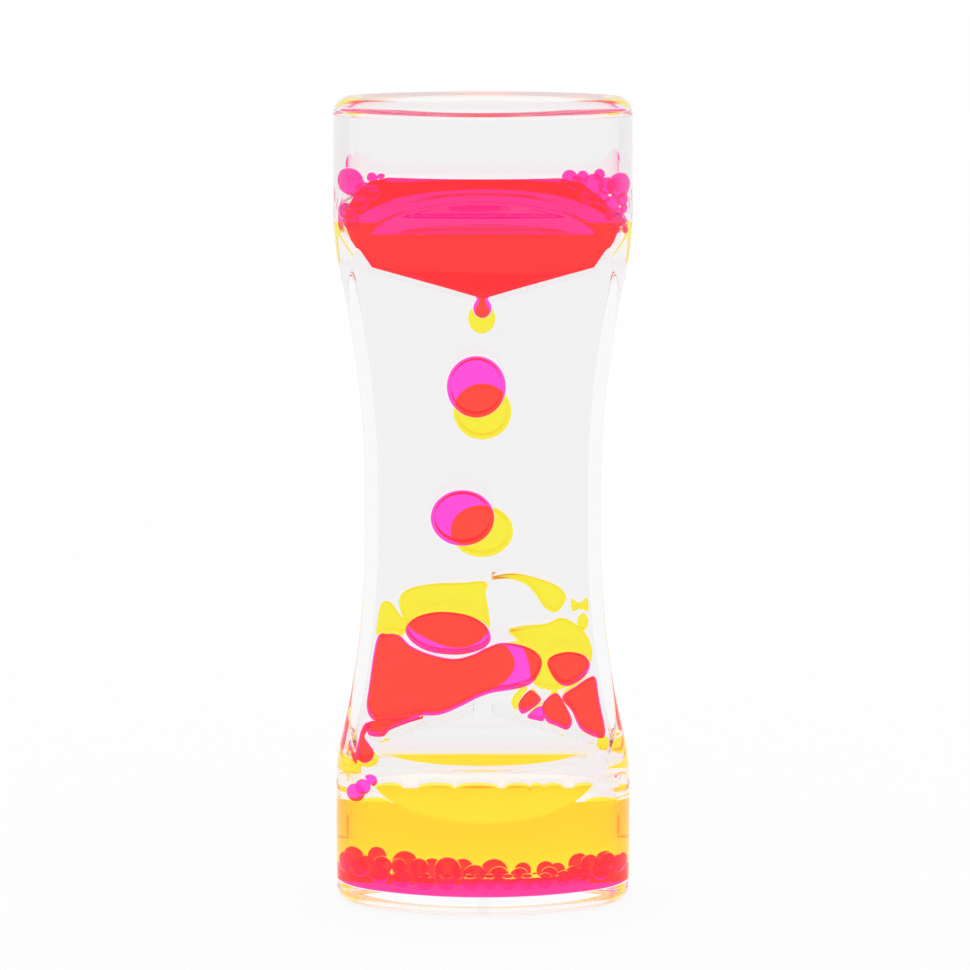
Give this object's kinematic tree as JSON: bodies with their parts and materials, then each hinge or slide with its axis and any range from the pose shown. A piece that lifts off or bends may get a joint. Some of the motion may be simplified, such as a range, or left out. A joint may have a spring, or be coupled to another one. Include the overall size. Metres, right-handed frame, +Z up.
{
  "type": "liquid motion timer",
  "caption": "Clear waisted timer with two flat chambers, where dyed drops drip from trays, fall through clear liquid and roll off a roof.",
  "frame": {"origin": "centre of the base, on the surface that the timer stands on", "axes": "+Z up along the height, +X to the viewer's right along the width, -Y towards the viewer of the magenta side"},
  "size_m": [0.05, 0.031, 0.135],
  "materials": {
    "clear_shell": "polished clear",
    "clear_divider": "polished clear",
    "clear_plug": "polished clear",
    "clear_liquid": "clear liquid",
    "magenta_liquid": "translucent dyed liquid",
    "yellow_liquid": "translucent dyed liquid"
  },
  "bodies": {
    "housing": {"front_shell": "clear_shell", "back_shell": "clear_shell", "divider": "clear_divider", "front_fill_plug": "clear_plug", "back_fill_plug": "clear_plug", "front_clear_liquid": "clear_liquid", "back_clear_liquid": "clear_liquid", "magenta_upper_pool": "magenta_liquid", "magenta_upper_beads": "magenta_liquid", "magenta_nozzle_drop": "magenta_liquid", "magenta_roof_blobs": "magenta_liquid", "magenta_side_drips": "magenta_liquid", "magenta_stray_beads": "magenta_liquid", "magenta_lower_beads": "magenta_liquid", "yellow_upper_pool": "yellow_liquid", "yellow_nozzle_drop": "yellow_liquid", "yellow_roof_blobs": "yellow_liquid", "yellow_side_drips": "yellow_liquid", "yellow_lower_pool": "yellow_liquid"},
    "magenta_upper_drop": {"magenta_upper_drop": "magenta_liquid"},
    "magenta_lower_drop": {"magenta_lower_drop": "magenta_liquid"},
    "yellow_upper_drop": {"yellow_upper_drop": "yellow_liquid"},
    "yellow_lower_drop": {"yellow_lower_drop": "yellow_liquid"}
  },
  "joints": [
    {"name": "front_column_fall", "type": "slide", "parent": "housing", "child": "magenta_upper_drop", "axis": [0, 0, 1], "range_m": [-0.01, 0.006]},
    {"name": "front_lower_fall", "type": "slide", "parent": "housing", "child": "magenta_lower_drop", "axis": [0, 0, 1], "range_m": [-0.01, 0.006]},
    {"name": "back_column_fall", "type": "slide", "parent": "housing", "child": "yellow_upper_drop", "axis": [0, 0, 1], "range_m": [-0.0026, 0.0076]},
    {"name": "back_lower_fall", "type": "slide", "parent": "housing", "child": "yellow_lower_drop", "axis": [0, 0, 1], "range_m": [-0.0026, 0.0076]}
  ],
  "couplings": [
    {"joint": "front_lower_fall", "follows": "front_column_fall", "ratio": 1},
    {"joint": "back_lower_fall", "follows": "back_column_fall", "ratio": 1}
  ]
}
